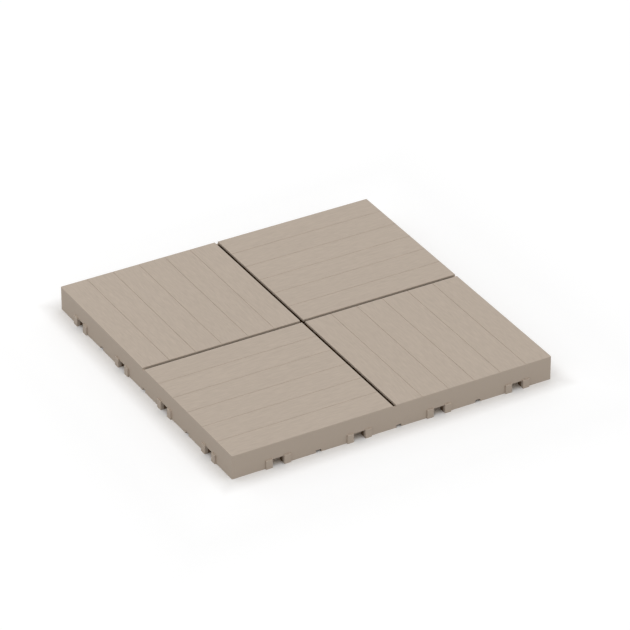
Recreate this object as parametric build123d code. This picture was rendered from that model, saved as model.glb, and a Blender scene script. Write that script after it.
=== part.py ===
from build123d import *
from math import radians, tan
import os

# Interlocking deck tile, made as one injection moulding.
# Millimetres, +Z up. The origin is the middle of the tile, on the ground it lies on.
# The sockets are on the -X and -Y sides, and the hooks that fit them on the +X and +Y sides.

# Whole tile
side = 300.0  # outer face to outer face of the skirt, both ways
height = 22.0  # ground to deck surface
corner_radius = 1.0  # the four upright corners
edge_radius = 0.5  # the deck's outer edges

# Deck
deck = 2.0  # thickness of the deck plate
slot = 3.0  # cross-shaped slot between the four panels
slot_chamfer = 0.3  # on the slot's upper edges
planks = 6  # in each panel
groove_width = 0.95  # V-groove between two planks
groove_depth = 0.44

# Underside
wall = 2.0  # outer skirt
rib = 1.6  # ribs and inner walls, where they meet the deck
draft = 0.5  # degrees, on every hollow that the mould's core leaves
rib_lift = 2.5  # the ribs stop this far above the ground, so that water runs out
slot_ledge = 3.0  # how far the deck plate reaches past the ribs beside the slot
bridge_drop = 8.0  # ribs and inner walls cross the slot this far below the deck surface
post_diameter = 9.0  # tubular feet under every other rib crossing
post_bore = 5.0
hub_diameter = 16.0  # round foot under the middle of the tile
hub_thickness = 4.0

# Sockets, and the spacer pads beside every socket and hook
connectors = 4  # on each side
connector_shift = 4.3  # of the whole row towards +X, on the -Y and +Y sides
socket_width = 10.6
socket_height = 7.0  # ground to lintel
socket_depth = 6.4  # skirt's outer face to the inner wall behind the socket
pad_width = 6.1
pad_height = 8.0
pad_radius = 0.4  # rounding round a pad's face

# Hooks
hook_side_play = 0.4  # beside the hook, in the neighbour's socket
hook_wall_play = 0.3  # between the hook's lip and the neighbour's skirt
hook_arm = 3.5  # thickness of the arm
hook_lift = 1.5  # ground to the arm's underside
hook_lip = 2.0  # thickness of the upturned lip
hook_hold = 3.5  # height of the lip above the neighbour's lintel
hook_lead = 0.8  # lead-in chamfer on the lip
hook_throat = 0.8  # radius between arm and lip
hook_toe = 1.2  # radius under the lip

# Drain notches at the foot of the skirt, midway between connectors
drain_width = 4.8
drain_height = 2.4

# What follows from the sizes above
half = side / 2
ceiling = height - deck  # underside of the deck plate
joint = slot  # the joint between two tiles repeats the slot
pad_proud = joint / 2  # tiles butt pad to pad
inner_wall = half - socket_depth  # outer face of the wall behind the sockets
core = inner_wall - rib  # inner face of that wall
channel = slot / 2 + slot_ledge  # half the width of the channel under the slot
plank = (side - slot) / 2 / planks
plank_lines = [slot / 2 + plank * n for n in range(1, planks)]
pitch = side / connectors
connector_places = [pitch * (n - (connectors - 1) / 2) for n in range(connectors)]
drain_places = [pitch * (n - connectors / 2) for n in range(1, connectors)]


def growth(z):
    """How much a drafted wall has moved at height z, compared with its place at the ceiling."""
    return tan(radians(draft)) * (ceiling - z)


def hollow(x_range, y_range, low=0.0, high=ceiling):
    """Drafted hollow between two heights. Its ranges are those it has at the ceiling."""
    width = x_range[1] - x_range[0] + 2 * growth(low)
    length = y_range[1] - y_range[0] + 2 * growth(low)
    mouth = Pos(sum(x_range) / 2, sum(y_range) / 2, low) * Rectangle(width, length)
    return extrude(mouth, high - low, taper=draft)


def prism(outline, length):
    """Solid with an outline in the XZ plane, reaching half the length to each side of it."""
    return extrude(make_face(Plane.XZ * outline), length / 2, both=True)


def turned(shapes, angles=(0, 90, 180, 270)):
    """Copies of the shapes, turned about the tile's upright axis."""
    return [Rot(0, 0, angle) * shape for angle in angles for shape in shapes]


def block():
    """Outer form of the tile, with its upright corners and upper edges rounded."""
    body = Pos(0, 0, height / 2) * Box(side, side, height)
    body = fillet(body.edges().filter_by(Axis.Z), corner_radius)
    return fillet(body.faces().sort_by(Axis.Z)[-1].edges(), edge_radius)


def slots():
    """Cross-shaped slot through the deck plate, and the clearance over the ribs that bridge it."""
    near = slot / 2
    far = near + 2 * slot_chamfer
    section = Polyline(
        (-near, ceiling),
        (near, ceiling),
        (near, height - slot_chamfer),
        (far, height + slot_chamfer),
        (-far, height + slot_chamfer),
        (-near, height - slot_chamfer),
        close=True,
    )
    cut = prism(section, side + 2 * wall)
    clearance = bridge_drop - deck
    under = Pos(0, 0, ceiling - clearance / 2) * Box(2 * channel, side - 2 * wall, clearance)
    return turned([cut, under], (0, 90))


def grooves():
    """V-grooves between planks, which run along Y in two opposite panels and along X in the others."""
    section = Polyline(
        (0, height - groove_depth),
        (groove_width, height + groove_depth),
        (-groove_width, height + groove_depth),
        close=True,
    )
    groove = Pos(0, (slot / 2 + half) / 2) * prism(section, half)
    return turned([Pos(-line, 0) * groove for line in plank_lines])


def spans():
    """Clear spans between the ribs, from the slot's channel out to the inner wall."""
    starts = [channel + rib] + [line + rib / 2 for line in plank_lines]
    ends = [line - rib / 2 for line in plank_lines] + [core]
    return list(zip(starts, ends))


def cells():
    """Hollows under the panels, between crossed ribs that follow the plank lines."""
    return turned([hollow(x, y, rib_lift) for x in spans() for y in spans()])


def channels():
    """Hollows under the slot, between the ribs that bridge it, and where its arms cross."""
    width = (-channel, channel)
    return turned([hollow(width, y, rib_lift) for y in spans()]) + [hollow(width, width, hub_thickness)]


def edge_hollows(places):
    """Hollows between skirt and inner wall on the -Y side, with a web at each side of a connector."""
    webs = []
    for place in places:
        for face in (-1, 1):
            near = place + face * socket_width / 2
            webs += sorted([near, near + face * rib])
    ends = [wall - half] + webs + [half - wall]
    return [hollow(x, (wall - half, -inner_wall)) for x in zip(ends[::2], ends[1::2])]


def socket(place):
    """Opening through the skirt on the -Y side, open to the ground."""
    return Pos(place, -half, socket_height / 2) * Box(socket_width, 2 * wall, socket_height)


def drain(place):
    """Notch through the skirt and the inner wall on the -Y side."""
    depth = 2 * (half - core + rib)
    return Pos(place, -half, drain_height / 2) * Box(drain_width, depth, drain_height)


def pad():
    """Spacer pad on the -Y side, sunk half way into the skirt."""
    depth = pad_proud + wall / 2
    body = Pos(0, depth / 2, pad_height / 2) * Box(pad_width, depth, pad_height)
    face = body.faces().sort_by(Axis.Y)[0]
    foot = face.edges().sort_by(Axis.Z)[0]
    body = fillet(face.edges() - [foot], pad_radius)
    return Pos(0, -half - pad_proud, 0) * body


def pads(places):
    """Two pads beside each connector on the -Y side."""
    offset = (socket_width + pad_width) / 2
    return [Pos(place + face * offset, 0) * pad() for place in places for face in (-1, 1)]


def hook(place):
    """Arm with an upturned lip on the -Y side, which holds the neighbour by its skirt."""
    root = half - wall / 2
    lip_face = half + joint + wall + hook_wall_play
    tip = lip_face + hook_lip
    arm_top = hook_lift + hook_arm
    lip_top = socket_height + hook_hold
    outline = FilletPolyline(
        (root, hook_lift),
        (tip, hook_lift),
        (tip, lip_top),
        (lip_face + hook_lead, lip_top),
        (lip_face, lip_top - hook_lead),
        (lip_face, arm_top),
        (root, arm_top),
        radius=[0, hook_toe, 0, 0, 0, hook_throat, 0],
        close=True,
    )
    width = socket_width - 2 * hook_side_play
    return Pos(place, 0) * Rot(0, 0, -90) * prism(outline, width)


def posts(diameter):
    """Round bars from the ground to the ceiling, under every other rib crossing."""
    bar = Pos(0, 0, ceiling / 2) * Cylinder(diameter / 2, ceiling)
    lines = plank_lines[1::2]
    return turned([Pos(x, y) * bar for x in lines for y in lines])


def deck_tile():
    """The whole moulding."""
    # The connector rows of the -Y and +Y sides are shifted the same way. Seen on the side that
    # each function draws, which is then turned into place, that is towards +X and towards -X.
    sides = {0: connector_shift, 90: 0.0, 180: -connector_shift, 270: 0.0}
    hooked = (90, 180)

    hollows = cells() + channels() + [hollow((-core, core), (-core, core), 0.0, rib_lift)]
    openings = []
    proud = [Pos(0, 0, hub_thickness / 2) * Cylinder(hub_diameter / 2, hub_thickness)]
    proud += posts(post_diameter)
    for angle, shift in sides.items():
        places = [place + shift for place in connector_places]
        hollows += turned(edge_hollows(places), [angle])
        openings += turned([drain(place + shift) for place in drain_places], [angle])
        proud += turned(pads(places), [angle])
        if angle in hooked:
            proud += turned([hook(place) for place in places], [angle])
        else:
            openings += turned([socket(place) for place in places], [angle])

    tile = block() - slots() - grooves() - hollows - openings + proud
    return tile - posts(post_bore)


tile = deck_tile()
tile.label = "deck_tile"
os.makedirs("parts", exist_ok=True)
export_step(tile, "parts/deck_tile.step")
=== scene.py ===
import json
import math

import bpy
from mathutils import Matrix, Vector


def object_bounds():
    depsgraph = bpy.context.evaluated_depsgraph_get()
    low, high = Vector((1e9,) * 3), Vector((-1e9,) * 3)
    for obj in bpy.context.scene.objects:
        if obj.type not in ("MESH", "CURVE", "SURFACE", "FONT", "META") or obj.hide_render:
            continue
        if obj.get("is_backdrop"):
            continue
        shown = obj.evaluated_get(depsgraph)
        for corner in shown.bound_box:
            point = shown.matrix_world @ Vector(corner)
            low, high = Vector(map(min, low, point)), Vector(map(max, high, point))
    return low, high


# Metres, +Z up, the origin in the middle of the tile on the ground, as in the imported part.

# Camera, fitted to the photograph
IMAGE = 630  # pixels, both ways
FOCAL = 4070.9  # pixels
DISTANCE = 3.405
AZIMUTH = math.radians(60.375)  # direction of view over the ground, from +X towards +Y
ELEVATION = math.radians(31.880)
ROLL = math.radians(-0.106)
CENTRE = (-12.40, -28.30)  # where the origin is seen, in pixels right of and above the middle
SENSOR = 36.0  # millimetres
CLIP = (0.1, 100.0)

# Sizes of the tile
HEIGHT = 0.022
CEILING = 0.020  # underside of the deck plate
PLANK = 0.02475  # width of a plank
PLANK_START = 0.0015  # the first plank's edge, from the middle of the slot
DECK_RELIEF = 0.0008  # the deck's grooves and rounded edges are shallower than this
CHANNEL = 0.0047  # the channel under the slot is narrower than this, from its middle
SKIRT = 0.148  # inner face of the skirt at the ceiling, from the middle
SKIRT_LEAN = 0.0003  # that face leans outward by less than this
GAP = 0.1438  # where the gap behind the skirt starts, just off the inner wall's face
CEILING_SLACK = 0.00005  # what counts as under the ceiling lies lower than it by this

# Plastic
PLASTIC = (0.476, 0.396, 0.322)
GRAIN_TONE = 0.10  # share by which the grain makes the plastic darker and lighter
GRAIN_CONTRAST = 1.5
PLANK_TONE = 0.05  # part of the grain's range by which planks differ
CLOUD_TONE = 0.015  # share by which the plain faces vary
CLOUD = 22.0  # scale of a slow change of tone and roughness
PLANK_SEEDS = (3.7, 7.3, 17.9)  # keep the planks' numbers apart
SEED_SHIFT = 0.31  # metres that the grain is moved along a plank, times the plank's number
GRAINS = (  # scale along a plank, scale across it, detail, share
    (18.0, 260.0, 2.0, 0.2),
    (110.0, 1000.0, 1.0, 0.8),
)
STIPPLE = 2600.0  # scale of the mould's fine texture
STIPPLE_SHARE = 0.25
BUMP_STRENGTH = 0.35
BUMP_DISTANCE = 0.00012
ROUGHNESS = 0.52
CLOUD_ROUGHNESS = 0.08
IOR = 1.46
SPECULAR = 0.5

# Painted shade: the plastic's colour is darkened and its gloss taken off on the walls of the channel under
# the slot and of the gap behind the skirt.
# Plastic deep in narrow gaps, which the photograph shows darker than an even light leaves it
RECESS_PAINTED_SHADE = (0.12, 0.06, 0.018, 1.0)
CHANNEL_PAINTED_SHADE_HEIGHTS = (0.008, 0.014)  # heights between which the painted shade on the walls under the slot fades in
GAP_PAINTED_SHADE = 0.77  # share of the painted shade in the gap behind the skirt, where 1 is the full painted shade colour above

# Floor
WHITE = (1.0, 1.0, 1.0, 1.0)
GROUND_SEEN = (0.97, 0.97, 0.97, 1.0)
GROUND_NEAR_PAINTED = (0.96, 0.952, 0.942, 1.0)  # beside the tile's foot: painted shade and a painted warm bounce from the tile
GROUND_INSIDE_PAINTED = (0.84, 0.77, 0.69, 1.0)  # seen through the sockets and the drain notches: painted shade and a painted brown bounce from the plastic around it
GROUND_BOUNCE = (0.54, 0.54, 0.54, 1.0)  # as the tile sees the floor
GROUND_UNDER = (0.05, 0.05, 0.05, 1.0)  # the same, under the tile
FOOT = (0.1455, 0.150)  # from the middle, along X or Y: inside turns into near
OPEN_FLOOR = (0.152, 0.172)  # and near turns into seen
# Painted light: glow of the open floor, for the camera only, at distances from the tile's middle along X or
# Y; it whitens the open floor, and its nil value beside the tile and its rise and fall outside paint the
# shape of the floor's shadow there
GLOW = ((0.154, 0.0), (0.168, 0.132), (0.185, 0.105), (0.220, 0.085), (0.300, 0.12))
FLOOR_HALF = 30.0
FLOOR_DROP = 0.00005  # keeps the floor just under the tile's feet

# Light
DOME = 0.907
SOFT_BOXES = (  # name, place, side, watts
    ("soft_box", (0.5, -1.2, 1.6), 1.2, 1.0),
    ("fill", (-0.3, 0.45, 0.3), 0.3, 0.12),
)


class Tree:
    """Short way to add and join nodes of a material."""

    def __init__(self, name):
        self.material = bpy.data.materials.new(name)
        self.material.use_nodes = True
        self.nodes = self.material.node_tree.nodes
        self.links = self.material.node_tree.links
        self.nodes.clear()
        self.output = self.nodes.new("ShaderNodeOutputMaterial")

    def add(self, kind, *values, **settings):
        """A node. The values go to its inputs in order: a socket is linked and a constant is set."""
        node = self.nodes.new("ShaderNode" + kind)
        for key, value in settings.items():
            setattr(node, key, value)
        for place, value in enumerate(values):
            self.put(node.inputs[place], value)
        return node

    def put(self, entry, value):
        if isinstance(value, bpy.types.NodeSocket):
            self.links.new(value, entry)
        else:
            entry.default_value = value

    def math(self, operation, *values):
        return self.add("Math", *values, operation=operation).outputs[0]

    def times(self, first, *others):
        """Product of all values."""
        for other in others:
            first = self.math("MULTIPLY", first, other)
        return first

    def plus(self, first, *others):
        """Sum of all values."""
        for other in others:
            first = self.math("ADD", first, other)
        return first

    def ramp(self, value, ends, low=0.0, high=1.0):
        """From low to high while the value goes from one end to the other, and level outside them."""
        return self.add("MapRange", value, *ends, low, high).outputs[0]

    def mix(self, factor, first, second):
        """Mix of two colours."""
        node = self.add("Mix", factor, data_type="RGBA")
        self.put(node.inputs[6], first)
        self.put(node.inputs[7], second)
        return node.outputs[2]

    def noise(self, place, scale, detail):
        node = self.add("TexNoise", place)
        node.inputs["Scale"].default_value = scale
        node.inputs["Detail"].default_value = detail
        return node.outputs["Fac"]


def scaled(colour, factor):
    return tuple(channel * factor for channel in colour) + (1.0,)


def plank_places(tree):
    """Place, distances along and across the planks, height, and a number that differs from plank to plank."""
    place = tree.add("TexCoord").outputs["Object"]
    x, y, z = tree.add("SeparateXYZ", place).outputs
    # Planks run along Y in the panels where x and y have opposite signs, and along X in the others.
    lengthways_x = tree.math("GREATER_THAN", tree.times(x, y), 0.0)
    lengthways_y = tree.math("SUBTRACT", 1.0, lengthways_x)
    along = tree.plus(tree.times(x, lengthways_x), tree.times(y, lengthways_y))
    across = tree.plus(tree.times(y, lengthways_x), tree.times(x, lengthways_y))
    from_start = tree.math("SUBTRACT", tree.math("ABSOLUTE", across), PLANK_START)
    index = tree.math("FLOOR", tree.math("DIVIDE", from_start, PLANK))
    by_plank, by_x, by_y = PLANK_SEEDS
    side_x = tree.times(tree.math("SIGN", x), by_x)
    side_y = tree.times(tree.math("SIGN", y), by_y)
    seed = tree.plus(tree.times(index, by_plank), side_x, side_y)
    return place, along, across, z, seed


def painted_recess_shade(tree, along, across, up, normal_z):
    """Share of painted shade on the walls of the channel under the slot and of the gap behind the skirt, else
    0.
    """
    sides = tree.math("ABSOLUTE", along), tree.math("ABSOLUTE", across)
    near = tree.math("MINIMUM", *sides)
    far = tree.math("MAXIMUM", *sides)
    channel = tree.times(tree.math("LESS_THAN", near, CHANNEL), tree.ramp(up, CHANNEL_PAINTED_SHADE_HEIGHTS))
    gap = tree.times(tree.math("GREATER_THAN", far, GAP), GAP_PAINTED_SHADE)
    behind_skirt = tree.math("LESS_THAN", far, SKIRT + SKIRT_LEAN)
    below_deck = tree.math("LESS_THAN", up, CEILING - CEILING_SLACK)
    not_facing_down = tree.math("GREATER_THAN", normal_z, -0.5)
    return tree.times(tree.math("MAXIMUM", channel, gap), behind_skirt, below_deck, not_facing_down)


def plastic():
    """Matte moulded plastic, with an embossed wood grain along each plank of the deck, and painted shade deep
    in the channel under the slot and in the gap behind the skirt.
    """
    tree = Tree("deck_plastic")
    place, along, across, up, seed = plank_places(tree)
    normal_z = tree.add("SeparateXYZ", tree.add("NewGeometry").outputs["Normal"]).outputs[2]
    facing_up = tree.math("GREATER_THAN", normal_z, 0.5)
    on_top = tree.math("GREATER_THAN", up, HEIGHT - DECK_RELIEF)
    deck = tree.times(facing_up, on_top)
    painted_shade = painted_recess_shade(tree, along, across, up, normal_z)
    cloud = tree.noise(place, CLOUD, 3.0)

    shifted = tree.plus(along, tree.times(seed, SEED_SHIFT))
    grain = 0.0
    for scale_along, scale_across, detail, share in GRAINS:
        u = tree.times(shifted, scale_along)
        v = tree.times(across, scale_across)
        noise = tree.noise(tree.add("CombineXYZ", u, v, seed).outputs[0], 1.0, detail)
        grain = tree.plus(tree.times(noise, share), grain)

    plank_noise = tree.add("TexWhiteNoise", noise_dimensions="1D")
    tree.put(plank_noise.inputs["W"], seed)
    plank_tone = tree.times(tree.math("SUBTRACT", plank_noise.outputs[0], 0.5), PLANK_TONE)
    tone = tree.plus(tree.times(tree.math("SUBTRACT", grain, 0.5), GRAIN_CONTRAST), 0.5, plank_tone)
    deck_colour = tree.mix(tone, scaled(PLASTIC, 1 - GRAIN_TONE), scaled(PLASTIC, 1 + GRAIN_TONE))
    plain_colour = tree.mix(cloud, scaled(PLASTIC, 1 - CLOUD_TONE), scaled(PLASTIC, 1 + CLOUD_TONE))
    # Painted shade: away from the deck the plain colour turns to the dark painted shade colour deep in the
    # channel and the gap.
    colour = tree.mix(deck, tree.mix(painted_shade, plain_colour, RECESS_PAINTED_SHADE), deck_colour)

    stipple = tree.noise(place, STIPPLE, 2.0)
    bump = tree.add("Bump")
    bump.inputs["Strength"].default_value = BUMP_STRENGTH
    bump.inputs["Distance"].default_value = BUMP_DISTANCE
    tree.put(bump.inputs["Height"], tree.plus(tree.times(grain, deck), tree.times(stipple, STIPPLE_SHARE)))

    shader = tree.add("BsdfPrincipled")
    shader.inputs["IOR"].default_value = IOR
    tree.put(shader.inputs["Base Color"], colour)
    tree.put(shader.inputs["Roughness"], tree.plus(tree.times(cloud, CLOUD_ROUGHNESS), ROUGHNESS))
    # Painted shade: the gloss is taken off where the shade is painted.
    gloss = tree.times(tree.math("SUBTRACT", 1.0, painted_shade), SPECULAR)
    tree.put(shader.inputs["Specular IOR Level"], gloss)
    tree.put(shader.inputs["Normal"], bump.outputs[0])
    tree.put(tree.output.inputs[0], shader.outputs[0])
    return tree.material


def ground():
    """White floor with the part's shadow on it, and painted shade with a painted warm bounce by the tile's
    foot and under the tile. What it sends back to the part is darker.
    """
    tree = Tree("ground")
    seen = tree.add("LightPath").outputs["Is Camera Ray"]
    x, y, _ = tree.add("SeparateXYZ", tree.add("TexCoord").outputs["Object"]).outputs
    away = tree.math("MAXIMUM", tree.math("ABSOLUTE", x), tree.math("ABSOLUTE", y))
    bounce = tree.mix(tree.math("LESS_THAN", away, SKIRT), GROUND_BOUNCE, GROUND_UNDER)
    beside = tree.mix(tree.ramp(away, FOOT), GROUND_INSIDE_PAINTED, GROUND_NEAR_PAINTED)
    shown = tree.mix(tree.ramp(away, OPEN_FLOOR), beside, GROUND_SEEN)
    diffuse = tree.add("BsdfDiffuse", tree.mix(seen, bounce, shown))
    strength = 0.0
    for (start, low), (end, high) in zip(GLOW, GLOW[1:]):
        strength = tree.plus(tree.ramp(away, (start, end), 0.0, high - low), strength)
    glow = tree.add("Emission", WHITE, tree.times(seen, strength))
    both = tree.add("AddShader", diffuse.outputs[0], glow.outputs[0])
    tree.put(tree.output.inputs[0], both.outputs[0])
    return tree.material


def floor():
    mesh = bpy.data.meshes.new("floor")
    corners = [(x * FLOOR_HALF, y * FLOOR_HALF, 0) for x, y in ((-1, -1), (1, -1), (1, 1), (-1, 1))]
    mesh.from_pydata(corners, [], [(0, 1, 2, 3)])
    thing = bpy.data.objects.new("floor", mesh)
    bpy.context.scene.collection.objects.link(thing)
    mesh.materials.append(ground())
    thing.location = (0, 0, -FLOOR_DROP)
    thing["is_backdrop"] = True


def lights():
    """Even white dome, and weak square soft boxes that point at the tile."""
    world = bpy.data.worlds.new("studio")
    bpy.context.scene.world = world
    world.use_nodes = True
    background = world.node_tree.nodes["Background"]
    background.inputs["Color"].default_value = WHITE
    background.inputs["Strength"].default_value = DOME
    for name, place, side, watts in SOFT_BOXES:
        light = bpy.data.lights.new(name, "AREA")
        light.shape = "SQUARE"
        light.size = side
        light.energy = watts
        thing = bpy.data.objects.new(name, light)
        bpy.context.scene.collection.objects.link(thing)
        aim = -Vector(place)
        thing.matrix_world = Matrix.Translation(place) @ aim.to_track_quat("-Z", "Y").to_matrix().to_4x4()


def camera():
    forward = Vector((
        math.cos(ELEVATION) * math.cos(AZIMUTH),
        math.cos(ELEVATION) * math.sin(AZIMUTH),
        -math.sin(ELEVATION),
    ))
    level_right = forward.cross(Vector((0, 0, 1))).normalized()
    level_up = level_right.cross(forward)
    right = level_right * math.cos(ROLL) + level_up * math.sin(ROLL)
    up = level_up * math.cos(ROLL) - level_right * math.sin(ROLL)
    place = -forward * DISTANCE
    data = bpy.data.cameras.new("camera")
    data.sensor_fit = "HORIZONTAL"
    data.sensor_width = SENSOR
    data.lens = FOCAL * SENSOR / IMAGE
    data.shift_x = -CENTRE[0] / IMAGE
    data.shift_y = -CENTRE[1] / IMAGE
    data.clip_start, data.clip_end = CLIP
    thing = bpy.data.objects.new("camera", data)
    bpy.context.scene.collection.objects.link(thing)
    thing.matrix_world = Matrix((
        (right.x, up.x, -forward.x, place.x),
        (right.y, up.y, -forward.y, place.y),
        (right.z, up.z, -forward.z, place.z),
        (0, 0, 0, 1),
    ))
    bpy.context.scene.camera = thing


def plain(bounds):
    return json.loads(json.dumps(bounds, default=list))


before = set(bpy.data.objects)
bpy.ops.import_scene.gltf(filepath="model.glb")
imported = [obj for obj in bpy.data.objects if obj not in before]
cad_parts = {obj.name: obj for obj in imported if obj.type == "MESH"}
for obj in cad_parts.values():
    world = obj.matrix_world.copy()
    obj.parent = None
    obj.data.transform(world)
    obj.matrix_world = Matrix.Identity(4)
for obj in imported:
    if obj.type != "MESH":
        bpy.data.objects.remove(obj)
before = plain(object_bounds())

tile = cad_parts["deck_tile"]
tile.data.materials.clear()
tile.data.materials.append(plastic())

floor()
lights()
camera()
bpy.context.scene.view_settings.view_transform = "Standard"

{"cad": before, "visual": plain(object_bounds())}
